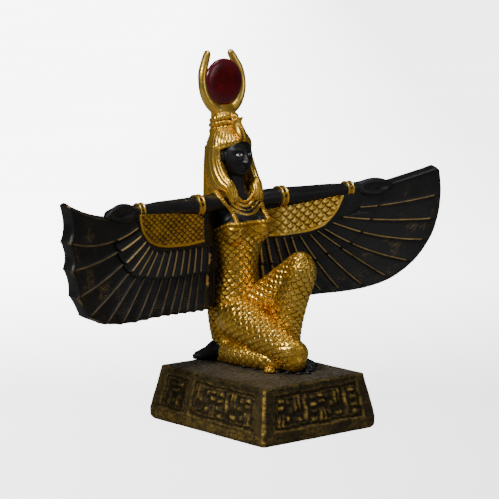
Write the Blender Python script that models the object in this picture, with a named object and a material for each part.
"""Kneeling winged goddess figurine: a cast figure with spread wings, a red sun disc
held between its horns, and a battered plinth.

The row frame has +Z up, the figure faces -Y and its left wing reaches towards +X.
The origin is the middle of the plinth's underside.
"""

import math

import bmesh
import bpy
import numpy as np
from mathutils import Vector

# Driving sizes, in metres
PLINTH_WIDTH = 0.0965
PLINTH_DEPTH = 0.117
PLINTH_HEIGHT = 0.036
PLINTH_BATTER = 0.0058
PLINTH_EDGE_ROUND = 0.0022
PANEL_MARGIN = 0.006
PANEL_DEPTH = 0.0007
PANEL_FOOT = 0.009
PANEL_SHORT_SHARE = 0.27
STROKE_WIDTH = 0.0022
STROKE_DEPTH = 0.0008
STROKE_PITCH = 0.0115
FIGURE_HEIGHT = 0.204
FIGURE_STANDS_AT = (0.008, 0.0333)
WING_THICKNESS = 0.0115
WING_ROOT_SHARE = 0.7
WING_DROP = {"right": 1.04, "left": 1.0}
DISC_RADIUS = 0.0157
DISC_THICKNESS = 0.0052
SEAT_GAP = 0.0003

# The figure is carved on a canon of 204 parts from the soles to the horn tips.
# All forms of the figure below are in those parts.
CANON = 204.0
PART = FIGURE_HEIGHT / CANON
WING_SWEEP = 0.00095
WING_ROOT_BACK = 8.0
WING_ROOT_REACH = 34.0
WING_ROOT_INSET = 14.0
CROWN_BACK = 15.6
MODIUS_RINGS = 3
MODIUS_FOOT = 150.0
MODIUS_RING_RISE = 4.2
MODIUS_RADIUS = 9.0
MODIUS_RING_DEPTH = 1.1
MODIUS_TAPER = 0.35
SADDLE_TOP = MODIUS_FOOT + MODIUS_RINGS * MODIUS_RING_RISE + 5.4
DISC_SUNK = 1.1
DISC_REACH = DISC_RADIUS / PART
DISC_CENTRE = (0.0, CROWN_BACK, SADDLE_TOP - DISC_SUNK + DISC_REACH)
# A horn as (degrees up round the disc, how far its middle stands off the rim, half thickness, lean back)
HORN_PATH = [
    (-81, 3.6, 3.2, -1.0), (-62, 2.2, 3.2, -0.6), (-37, 1.2, 3.0, 0.0), (-9, 1.1, 2.8, 0.6),
    (18, 1.4, 2.6, 1.4), (46, 2.8, 2.3, 2.4), (62, 6.3, 1.9, 3.8),
]

BLACK = ("black_paint", (0.012, 0.012, 0.014), 0.38, 0.0)
GOLD_WASH = ("plinth_wash", (0.075, 0.055, 0.02), 0.55, 0.3)
RED = ("red_enamel", (0.16, 0.004, 0.012), 0.12, 0.0)


def clear_scene():
    for old in list(bpy.data.objects):
        bpy.data.objects.remove(old, do_unlink=True)


def material(name, colour, roughness, metallic):
    made = bpy.data.materials.new(name)
    made.use_nodes = True
    shader = made.node_tree.nodes["Principled BSDF"]
    shader.inputs["Base Color"].default_value = (*colour, 1.0)
    shader.inputs["Roughness"].default_value = roughness
    shader.inputs["Metallic"].default_value = metallic
    return made


def add_object(name, mesh, parent=None):
    made = bpy.data.objects.new(name, mesh)
    bpy.context.scene.collection.objects.link(made)
    made.parent = parent
    return made


def mesh_of(name, points, faces, smooth=True):
    """A closed mesh with its faces turned outwards."""
    mesh = bpy.data.meshes.new(name)
    mesh.from_pydata([tuple(p) for p in points], [], faces)
    shell = bmesh.new()
    shell.from_mesh(mesh)
    bmesh.ops.recalc_face_normals(shell, faces=shell.faces)
    shell.to_mesh(mesh)
    shell.free()
    if smooth:
        mesh.shade_smooth()
        mesh.set_sharp_from_angle(angle=math.radians(50))
    return mesh


def smooth_rows(rows, steps):
    """Rows of numbers with a Catmull-Rom curve run through them, steps to a span."""
    rows = np.array(rows, float)
    before = 2 * rows[0] - rows[1]
    after = 2 * rows[-1] - rows[-2]
    padded = np.vstack([before, rows, after])
    out = []
    for i in range(1, len(padded) - 2):
        p0, p1, p2, p3 = padded[i - 1 : i + 3]
        for k in range(steps):
            t = k / steps
            out.append(
                0.5
                * (
                    2 * p1
                    + (p2 - p0) * t
                    + (2 * p0 - 5 * p1 + 4 * p2 - p3) * t**2
                    + (3 * p1 - p0 - 3 * p2 + p3) * t**3
                )
            )
    out.append(rows[-1])
    return np.array(out)


def loft(name, stations, side, parent, sides=14, steps=2, flutes=0, flute_depth=0.0, tips=(0.0, 0.0)):
    """A limb: rings of half sizes (a along side, b across it) at stations (x, y, z, a, b).

    Flutes are ridges that run along it. A tip is the length of a rounded end.
    """
    rows = smooth_rows(stations, steps)
    centres, sizes = rows[:, :3], rows[:, 3:5]
    tangents = np.gradient(centres, axis=0)
    tangents /= np.linalg.norm(tangents, axis=1)[:, None]
    angles = np.arange(sides) * 2 * math.pi / sides
    ripple = 1 + flute_depth * np.cos(flutes * angles) if flutes else np.ones(sides)

    def ring(centre, tangent, half_a, half_b):
        across = np.array(side, float)
        across -= tangent * (across @ tangent)
        across /= np.linalg.norm(across)
        other = np.cross(tangent, across)
        return [
            centre + ripple[k] * (math.cos(w) * half_a * across + math.sin(w) * half_b * other)
            for k, w in enumerate(angles)
        ]

    rings = [ring(c, t, *s) for c, t, s in zip(centres, tangents, sizes)]
    poles = [None, None]
    for end, tip in enumerate(tips):
        if not tip:
            continue
        place = -1 if end else 0
        outwards = tangents[place] * (1 if end else -1)
        for turn in (0.5, 0.85):
            share = math.cos(turn * math.pi / 2)
            moved = centres[place] + outwards * tip * math.sin(turn * math.pi / 2)
            extra = ring(moved, tangents[place], *(sizes[place] * share))
            rings.insert(len(rings) if end else 0, extra)
        poles[end] = centres[place] + outwards * tip
    points = [p for r in rings for p in r]
    faces = []
    for r in range(len(rings) - 1):
        for k in range(sides):
            a, b = r * sides + k, r * sides + (k + 1) % sides
            faces.append((a, b, b + sides, a + sides))
    for end, pole in enumerate(poles):
        first = (len(rings) - 1) * sides if end else 0
        if pole is None:
            faces.append(tuple(range(first, first + sides)))
        else:
            points.append(pole)
            for k in range(sides):
                faces.append((first + k, first + (k + 1) % sides, len(points) - 1))
    scaled = [Vector(p) * PART for p in points]
    return add_object(name, mesh_of(name, scaled, faces), parent)


def as_helper(obj):
    obj.hide_render = True
    obj.display_type = "WIRE"
    return obj


def boolean(target, operation, other):
    modifier = target.modifiers.new(operation.title(), "BOOLEAN")
    modifier.operation = operation
    modifier.solver = "EXACT"
    if isinstance(other, bpy.types.Collection):
        modifier.operand_type = "COLLECTION"
        modifier.collection = other
    else:
        modifier.object = other
    return modifier


def wing_middle(x):
    """How far the wing's middle surface stands back at x: behind the trunk, then forward to the tip."""
    share = min(max((WING_ROOT_REACH - abs(x)) / (WING_ROOT_REACH - WING_ROOT_INSET), 0.0), 1.0)
    return WING_ROOT_BACK * share * share * (3 - 2 * share) - WING_SWEEP * x * x


def wing_face(x, side):
    """The wing's front (side -1) or back (side 1) at x: it is thinner where it leaves the trunk."""
    share = WING_ROOT_SHARE + (1 - WING_ROOT_SHARE) * min(abs(x) / (CANON / 2), 1.0)
    return wing_middle(x) + side * share * WING_THICKNESS / PART / 2


# The body


def body_forms(root):
    """The trunk, and every limb that is cast with it."""
    trunk = loft(
        "isis_figure",
        [
            (-3, 1, 6, 13, 11),
            (-1, 3.5, 19, 16.5, 14),
            (0, 4.5, 33, 18.5, 16.5),
            (0, 3.5, 46, 18, 15),
            (0, 1.5, 63, 15, 12),
            (0, 0.5, 78, 17, 13),
            (0, 0, 91, 18.5, 14),
            (0, 0.5, 101, 19, 12),
            (0, 1.5, 108, 17.5, 9),
            (0, 2, 113, 10, 6.5),
            (0, 2, 118, 6, 6),
            (0, 2, 128, 5.6, 6),
        ],
        (1, 0, 0),
        root,
        sides=20,
        steps=1,
    )
    limbs = [
        loft(
            "kneeling_thigh",
            [
                (-7, 4, 30, 11.5, 13),
                (-8, -12, 28, 12, 15),
                (-6.5, -31, 21, 11.5, 13.5),
                (-3.4, -50, 14.5, 10.5, 11),
                (-1, -60, 11.5, 9, 9),
            ],
            (1, 0, 0),
            root,
            sides=12,
            tips=(0, 5),
        ),
        loft(
            "kneeling_shin",
            [
                (-1, -60, 8, 9, 8.2),
                (-5.5, -40, 7, 10.5, 8.5),
                (-8, -20, 7, 11, 8.5),
                (-10, -2, 7, 9.5, 8.5),
            ],
            (1, 0, 0),
            root,
            sides=12,
            tips=(4, 0),
        ),
        loft(
            "kneeling_foot",
            [(-10, -4, 8, 5, 6), (-13, 5, 8, 5.5, 7), (-16, 13, 4, 6, 4), (-17.5, 18, 2, 5.6, 2.2)],
            (1, 0, 0),
            root,
            sides=8,
            tips=(0, 2),
        ),
        loft(
            "raised_thigh",
            [
                (8, 6, 28, 11, 13),
                (9, -10, 36, 11.5, 13),
                (10, -30, 50, 10.5, 12.5),
                (11, -47, 65, 9, 9.5),
                (11, -52, 69, 7.5, 8.5),
            ],
            (1, 0, 0),
            root,
            sides=12,
            tips=(0, 5),
        ),
        loft(
            "raised_shin",
            [
                (11, -51, 72, 7, 5),
                (11, -51, 64, 9.5, 9.5),
                (10, -41, 46, 9.5, 13.5),
                (9.5, -36, 26, 9, 13),
                (11, -36, 6, 8, 9),
                (11, -36, -2, 8, 9),
            ],
            (1, 0, 0),
            root,
            sides=12,
            tips=(4, 0),
        ),
        loft(
            "raised_foot",
            [
                (11.5, -34, 4, 5, 5),
                (12, -44, 4.5, 5.5, 5.5),
                (13, -52, 3, 6.5, 3.6),
                (13.5, -58, 2, 6, 2.2),
            ],
            (1, 0, 0),
            root,
            sides=8,
            tips=(2, 2),
        ),
        loft(
            "head",
            [
                (0, -2, 122.5, 4, 4.5),
                (0, -0.5, 126, 7.6, 7.6),
                (0, 1, 131, 10, 9.2),
                (0, 2, 137, 11.4, 10.6),
                (0, 3, 145, 11, 11),
            ],
            (1, 0, 0),
            root,
            sides=14,
            steps=1,
            tips=(1.5, 2),
        ),
        loft(
            "nose",
            [(0, -7.6, 137.5, 1.1, 1.2), (0, -8.6, 133, 1.5, 2), (0, -9, 130.5, 2.1, 2.6)],
            (1, 0, 0),
            root,
            sides=6,
            steps=1,
            tips=(1, 1),
        ),
        loft(
            "lips",
            [(-3, -7, 126.8, 1, 1), (0, -8.2, 126.8, 1.3, 1.5), (3, -7, 126.8, 1, 1)],
            (0, 1, 0),
            root,
            sides=6,
            steps=1,
            tips=(1, 1),
        ),
    ]
    for sign, hand in ((-1, "right"), (1, "left")):
        limbs += arm_forms(sign, hand, root)
        limbs.append(
            loft(
                f"{hand}_ear",
                [(sign * 10, 1.5, 135, 1.6, 2.8), (sign * 13.2, 2, 135.5, 1.4, 2.8)],
                (0, 1, 0),
                root,
                sides=8,
                steps=1,
                tips=(0, 1),
            )
        )
    return trunk, limbs


BAND_PROFILE = [(-3.2, 0), (-2.2, 1), (2.2, 1), (3.2, 0)]


def arm_forms(sign, hand, root):
    """An arm laid along the top of its wing, with bands at the armpit and the wrist."""

    def at(x, z, a, b, forward=2.5):
        return (sign * x, -WING_SWEEP * x * x - forward, z, a, b)

    arm = loft(
        f"{hand}_arm",
        [
            at(10, 106, 5, 6.5, 0),
            at(20, 106.6, 6.6, 7),
            at(35, 106, 5.8, 6.2),
            at(60, 106.2, 5.6, 5.7),
            at(78, 107, 4.6, 4.6),
            at(99, 107.8, 3.9, 3.9),
        ],
        (0, 1, 0),
        root,
        sides=10,
    )
    palm = loft(
        f"{hand}_hand",
        [
            at(95, 107.5, 3.8, 4.6, 2),
            at(103, 109, 5, 5.4, 2),
            at(110, 109.6, 5.2, 5.6, 2),
            at(116, 108.6, 5, 5, 2),
            at(121, 106.4, 4, 4, 2),
        ],
        (0, 0, 1),
        root,
        sides=8,
        tips=(0, 2),
    )
    thumb = loft(
        f"{hand}_thumb",
        [at(98, 105, 2.2, 2.2, 5), at(104, 102.6, 2, 2, 7), at(111, 101.6, 1.7, 1.7, 7)],
        (0, 0, 1),
        root,
        sides=6,
        tips=(0, 1),
    )
    bands = [
        loft(
            f"{hand}_{name}",
            [at(x + along, z, r + proud, r + proud) for along, proud in BAND_PROFILE],
            (0, 1, 0),
            root,
            sides=12,
            steps=1,
        )
        for name, x, z, r in (("armlet", 36, 106, 5.9), ("bracelet", 87, 107.4, 3.9))
    ]
    return [arm, palm, thumb, *bands]


# Dress, wig and crown


def dress_trim(root):
    """The straps, the collar and the rolled edge at the top of the dress."""
    edge = loft(
        "dress_edge",
        [(0, 0, 91, 18.2, 14.3), (0, 0, 92, 19, 14.9), (0, 0, 94.6, 19, 14.6), (0, 0, 95.6, 18.3, 13.8)],
        (1, 0, 0),
        root,
        sides=20,
        steps=1,
    )
    collar = loft(
        "collar",
        [(0, -4.4, 103, 11, 8.6), (0, -4.8, 104.5, 12, 9.2), (0, -2, 111, 10, 7.6), (0, 0, 114.5, 8, 6)],
        (1, 0, 0),
        root,
        sides=20,
        steps=1,
    )
    straps = [
        loft(
            f"{hand}_strap",
            [
                (sign * 9, -13, 93, 2.4, 1.6),
                (sign * 11, -11.6, 100, 2.4, 1.6),
                (sign * 13.5, -7.6, 108, 2.4, 1.6),
                (sign * 14.5, -1, 112, 2.4, 1.8),
            ],
            (1, 0, 0),
            root,
            sides=8,
            steps=1,
        )
        for sign, hand in ((-1, "right"), (1, "left"))
    ]
    return [edge, collar, *straps]


def wig_forms(root):
    """A long striated wig: the crown of the head, a back fall and two front lappets."""
    cap = loft(
        "wig_cap",
        [
            (0, 9, 140.5, 16, 15.6),
            (0, 9, 143, 16.2, 16),
            (0, 9.4, 147, 14.6, 14.8),
            (0, 11.2, 150.4, 11.6, 12),
            (0, 14, 153, 8.6, 8.6),
        ],
        (1, 0, 0),
        root,
        sides=30,
        steps=1,
        flutes=10,
        flute_depth=0.02,
    )
    fall = loft(
        "wig_back",
        [
            (0, 17.5, 97, 14.6, 5.5),
            (0, 16.5, 106, 15.6, 7.5),
            (0, 14.5, 116, 16.2, 10),
            (0, 14, 127, 16.4, 11),
            (0, 12.6, 136, 16.2, 12),
            (0, 11, 144, 14, 12.6),
        ],
        (1, 0, 0),
        root,
        sides=30,
        steps=1,
        flutes=10,
        flute_depth=0.03,
    )
    lappets = [
        loft(
            f"{hand}_lappet",
            [
                (sign * 8.3, -11, 101.5, 4.8, 3),
                (sign * 9, -9, 107, 4.8, 3.6),
                (sign * 10.6, -2.5, 114, 4.6, 5.4),
                (sign * 11.8, 7, 122, 4, 6.6),
                (sign * 12, 10.5, 130, 3.6, 7),
                (sign * 12, 11, 142, 3.4, 7),
            ],
            (1, 0, 0),
            root,
            sides=18,
            steps=1,
            flutes=6,
            flute_depth=0.06,
        )
        for sign, hand in ((-1, "right"), (1, "left"))
    ]
    return [cap, fall, *lappets]


def horn_stations(sign):
    """A horn that follows the disc's rim and then rises past it."""
    stations = []
    for degrees, off, half, lean in HORN_PATH:
        along, reach = math.radians(degrees), DISC_REACH + off
        x, z = sign * reach * math.cos(along), DISC_CENTRE[2] + reach * math.sin(along)
        stations.append((x, CROWN_BACK + lean, z, half, half))
    return stations


def crown_forms(root):
    """The ringed modius, the rearing cobra and the two horns."""
    stack = []
    for k in range(MODIUS_RINGS):
        foot = MODIUS_FOOT + MODIUS_RING_RISE * k
        wide = MODIUS_RADIUS - MODIUS_TAPER * k
        stack += [
            (0, CROWN_BACK, foot, wide - MODIUS_RING_DEPTH, wide - MODIUS_RING_DEPTH),
            (0, CROWN_BACK, foot + MODIUS_RING_RISE * 0.25, wide, wide),
            (0, CROWN_BACK, foot + MODIUS_RING_RISE * 0.75, wide, wide),
        ]
    stack += [(0, CROWN_BACK, SADDLE_TOP - 4.5, 7.2, 6.4), (0, CROWN_BACK, SADDLE_TOP, 6.4, 3.4)]
    modius = loft("modius", stack, (1, 0, 0), root, sides=14, steps=1)
    cobra = loft(
        "cobra",
        [
            (0, -6.4, 141, 1.8, 1.8),
            (0, -5.6, 147, 2.8, 2.2),
            (0, -2.4, 152, 3, 2.2),
            (0, 1.4, 156, 1.9, 1.9),
            (0, 0.8, 159.6, 1.8, 1.6),
            (0, -2, 160.6, 1.4, 1.3),
        ],
        (1, 0, 0),
        root,
        sides=8,
        steps=1,
        tips=(0, 1),
    )
    mount = loft(
        "cobra_back",
        [(0, -3, 149, 1.6, 2.5), (0, 4, 153, 1.6, 3), (0, 10, 154, 1.6, 3)],
        (1, 0, 0),
        root,
        sides=8,
    )
    horns = [
        loft(f"{hand}_horn", horn_stations(sign), (0, 1, 0), root, sides=8, tips=(0, 1.8))
        for sign, hand in ((-1, "right"), (1, "left"))
    ]
    return [modius, cobra, mount, *horns]


# Wings

# Where each feather's edge starts under the arm, passes the tips of the covert
# feathers, and ends at the wing's rim, as (x, z), from the top edge to the body.
FEATHER_ROOTS = [
    (93, 104), (91, 98), (86.5, 91), (80, 87), (73.5, 84), (68, 82), (62, 80.8), (55.5, 80.3),
    (48.8, 80), (42, 80), (35.2, 80), (28.5, 80), (20.5, 80), (-1, 80),
]
COVERT_TIPS = [
    (118, 109.5), (113.5, 94), (108.5, 84.5), (102, 76), (94.5, 70), (86.5, 66), (78.2, 63.6), (69.8, 62.2),
    (61.2, 61.3), (52.4, 60.8), (43.6, 60.4), (35, 60.2), (25, 60), (-1, 60),
]
RIM = [
    (158.5, 121), (159, 98), (154.5, 80.5), (146.5, 64.5), (134, 52.5), (118.5, 44.2), (103, 40),
    (88.5, 38.2), (75.5, 38), (63, 38), (51, 38), (40, 38), (28, 38), (-1, 38),
]
ARM_LINE_HEIGHT = 108.0
GROOVE_DEPTH = 1.1
COVERT_LIFT = 1.0
PATCH_LIFT = 1.4
CREST_AT = 0.22
RIM_ROUND = 1.6


def feather_columns():
    """Feather numbers where the grid has a column, with the relief there: 1 on a crest, 0 in a groove."""
    columns = []
    for n in range(len(RIM) - 1):
        columns += [(n + 0.0, 0.0), (n + CREST_AT, 1.0)]
    columns.append((len(RIM) - 1.0, 0.0))
    return columns


def on_curve(points, n):
    """A point at feather number n of a row of feather points."""
    low = min(int(n), len(points) - 2)
    share = n - low
    return np.array(points[low]) * (1 - share) + np.array(points[low + 1]) * share


def wing_form(sign, hand, root):
    """A thick wing whose front is carved with a patch, a row of coverts and a row of long feathers."""
    columns = feather_columns()
    front = []
    for n, relief in columns:
        start = on_curve(FEATHER_ROOTS, n)
        middle = on_curve(COVERT_TIPS, n)
        end = on_curve(RIM, n)
        scallop = 1.2 * math.sin(math.pi * (n % 1.0)) if n < 6 else 0.0
        end = end + (end - middle) / np.linalg.norm(end - middle) * scallop
        top = np.array([start[0] * 1.01 + 1.0, ARM_LINE_HEIGHT])
        groove = GROOVE_DEPTH * (1 - relief)
        quarter = middle * 0.5 + end * 0.5 + (middle - start) * 0.03
        rows = [
            (top, PATCH_LIFT),
            (start + (top - start) * 0.08, PATCH_LIFT),
            (start, COVERT_LIFT - groove),
            (middle, COVERT_LIFT - groove),
            (middle + (end - middle) * 0.05, -groove),
            (quarter, -groove),
            (end + (middle - end) * 0.04, -groove * 0.8),
            (end, -RIM_ROUND),
        ]
        column = []
        for (x, z), lift in rows:
            hung = ARM_LINE_HEIGHT + (z - ARM_LINE_HEIGHT) * WING_DROP[hand]
            column.append((x, wing_face(x, -1) - lift, hung))
        front.append(column)
    count = len(front[0])
    points = [(sign * x, y, z) for column in front for x, y, z in column]
    base = len(points)
    kept = (0, 2, 3, count - 1)
    for column in front:
        for k in kept:
            x, _, z = column[k]
            inset = RIM_ROUND if k == count - 1 else 0.0
            points.append((sign * x, wing_face(x, 1) - inset, z))
    behind = [base + sum(k > row for row in kept[1:]) + (k in kept[1:]) for k in range(count)]
    faces = []
    for c in range(len(front) - 1):
        step = c * count
        for k in range(count - 1):
            faces.append((step + k, step + count + k, step + count + k + 1, step + k + 1))
        step = base + c * len(kept)
        for k in range(len(kept) - 1):
            faces.append((step + k, step + k + 1, step + len(kept) + k + 1, step + len(kept) + k))
        for k in (0, count - 1):
            a, b = c * count + k, behind[k] + c * len(kept)
            faces.append((a, a + count, b + len(kept), b))
    for c in (0, len(front) - 1):
        for k in range(count - 1):
            a, b = c * count + k, behind[k] + c * len(kept)
            after = behind[k + 1] + c * len(kept)
            faces.append((a, a + 1, after, b) if after != b else (a, a + 1, b))
    scaled = [Vector(p) * PART for p in points]
    return add_object(f"{hand}_wing", mesh_of(f"{hand}_wing", scaled, faces, smooth=False), root)


# Disc and plinth


def sun_disc(name, radius, thickness, root, sides=22):
    """A lens with a rounded rim, standing on edge and facing forward."""
    half = thickness / 2
    profile = [(0.0, half), (radius * 0.5, half * 0.93), (radius * 0.82, half * 0.72)]
    profile += [(radius * 0.96, half * 0.4), (radius, 0.0)]
    profile += [(r, -h) for r, h in reversed(profile[1:-1])]
    turns = [k * 2 * math.pi / sides for k in range(sides)]
    rings = [[(r * math.cos(w), -h, r * math.sin(w)) for w in turns] for r, h in profile[1:]]
    points = [p for r in rings for p in r] + [(0, -half, 0), (0, half, 0)]
    faces = []
    for r in range(len(rings) - 1):
        for k in range(sides):
            a, b = r * sides + k, r * sides + (k + 1) % sides
            faces.append((a, b, b + sides, a + sides))
    last = (len(rings) - 1) * sides
    for k in range(sides):
        faces.append((k, (k + 1) % sides, len(points) - 2))
        faces.append((last + k, last + (k + 1) % sides, len(points) - 1))
    made = add_object(name, mesh_of(name, points, faces), root)
    made.location = Vector(DISC_CENTRE) * PART
    return made


def plinth_block():
    """A block whose four sides lean in, with softened edges."""
    half_x, half_y = PLINTH_WIDTH / 2, PLINTH_DEPTH / 2
    corners = [(-1, -1), (1, -1), (1, 1), (-1, 1)]
    points = [(sx * half_x, sy * half_y, 0) for sx, sy in corners]
    points += [
        (sx * (half_x - PLINTH_BATTER), sy * (half_y - PLINTH_BATTER), PLINTH_HEIGHT) for sx, sy in corners
    ]
    faces = [(0, 1, 2, 3), (4, 5, 6, 7)]
    faces += [(k, (k + 1) % 4, 4 + (k + 1) % 4, 4 + k) for k in range(4)]
    block = add_object("plinth", mesh_of("plinth", points, faces, smooth=False))
    bevel = block.modifiers.new("Softened edges", "BEVEL")
    bevel.width = PLINTH_EDGE_ROUND
    bevel.segments = 2
    bevel.limit_method = "ANGLE"
    return block


def side_boxes(length, facing, split):
    """Boxes sunk in one side of the plinth: its panels, then plain strokes in their floors."""
    low, high = PANEL_FOOT, PLINTH_HEIGHT - PANEL_MARGIN * 0.75
    lean = PLINTH_BATTER / PLINTH_HEIGHT
    half = length / 2 - PLINTH_BATTER - PANEL_MARGIN

    def box(u0, u1, z0, z1, depth):
        corners = []
        for z in (z0, z1):
            face = facing / 2 - lean * z
            outside = face + PANEL_DEPTH * 4
            corners += [(u0, face - depth, z), (u1, face - depth, z), (u1, outside, z), (u0, outside, z)]
        return corners

    spans = [(-half, half)]
    if split:
        short = 2 * half * PANEL_SHORT_SHARE
        spans = [(-half, half - short - PANEL_MARGIN / 2), (half - short, half)]
    panels = [box(u0, u1, low, high, PANEL_DEPTH) for u0, u1 in spans]
    strokes = []
    depth = PANEL_DEPTH + STROKE_DEPTH
    rise = (high - low) / 8
    for u0, u1 in spans:
        count = max(int((u1 - u0 - STROKE_WIDTH) / STROKE_PITCH), 1)
        pitch = (u1 - u0 - STROKE_WIDTH) / count
        for k in range(count):
            left = u0 + STROKE_WIDTH + k * pitch
            right = left + pitch - STROKE_WIDTH
            turned = (k * 3 + split) % 4
            upper, lower = low + rise * (4.6 + turned % 2), low + rise * (3.4 + turned % 2)
            strokes.append(box(left, left + STROKE_WIDTH, low + rise, lower, depth))
            strokes.append(box(left, right, upper, upper + STROKE_WIDTH, depth))
            if turned != 1:
                strokes.append(box(right - STROKE_WIDTH, right, low + rise, lower, depth))
    return panels, strokes


def cutter_of(name, boxes):
    """One helper mesh made of many boxes, each given by its eight corners."""
    points, faces = [], []
    for corners in boxes:
        base = len(points)
        points += corners
        faces += [tuple(base + k for k in face) for face in ((0, 1, 2, 3), (4, 5, 6, 7))]
        faces += [(base + k, base + (k + 1) % 4, base + 4 + (k + 1) % 4, base + 4 + k) for k in range(4)]
    return as_helper(add_object(name, mesh_of(name, points, faces, smooth=False)))


def carve_plinth(block):
    """Panels first, then the strokes in their floors, on all four sides."""
    cut = {"panels": [], "strokes": []}
    for turn in range(4):
        long_side = turn % 2
        length, facing = (PLINTH_DEPTH, PLINTH_WIDTH) if long_side else (PLINTH_WIDTH, PLINTH_DEPTH)
        c, s = round(math.cos(math.pi / 2 * turn)), round(math.sin(math.pi / 2 * turn))
        for name, boxes in zip(cut, side_boxes(length, facing, long_side)):
            for corners in boxes:
                cut[name].append([(c * u - s * v, s * u + c * v, z) for u, v, z in corners])
    for name, boxes in cut.items():
        boolean(block, "DIFFERENCE", cutter_of(f"plinth_{name}", boxes))


def floor_cutter(root):
    """Everything of the figure that would reach below its soles."""
    reach = FIGURE_HEIGHT
    corners = [(-reach, -reach), (reach, -reach), (reach, reach), (-reach, reach)]
    cutter = cutter_of("below_the_soles", [[(x, y, z) for z in (-reach / 4, 0) for x, y in corners]])
    cutter.parent = root
    return cutter


def main():
    clear_scene()
    black, wash, red = (material(*spec) for spec in (BLACK, GOLD_WASH, RED))

    block = plinth_block()
    carve_plinth(block)
    block.data.materials.append(wash)

    root = bpy.data.objects.new("figure_stand", None)
    bpy.context.scene.collection.objects.link(root)
    root.location = (*FIGURE_STANDS_AT, PLINTH_HEIGHT + SEAT_GAP)

    figure, forms = body_forms(root)
    forms += dress_trim(root) + wig_forms(root) + crown_forms(root)
    forms += [wing_form(sign, hand, root) for sign, hand in ((-1, "right"), (1, "left"))]
    cast = bpy.data.collections.new("cast_with_the_trunk")
    bpy.context.scene.collection.children.link(cast)
    for form in forms:
        as_helper(form)
        cast.objects.link(form)
    boolean(figure, "UNION", cast)
    boolean(figure, "DIFFERENCE", floor_cutter(root))
    seat = sun_disc("disc_seat", DISC_RADIUS + SEAT_GAP, DISC_THICKNESS + 2 * SEAT_GAP, root)
    boolean(figure, "DIFFERENCE", as_helper(seat))
    figure.data.materials.append(black)

    disc = sun_disc("sun_disc", DISC_RADIUS, DISC_THICKNESS, root)
    disc.data.materials.append(red)


main()
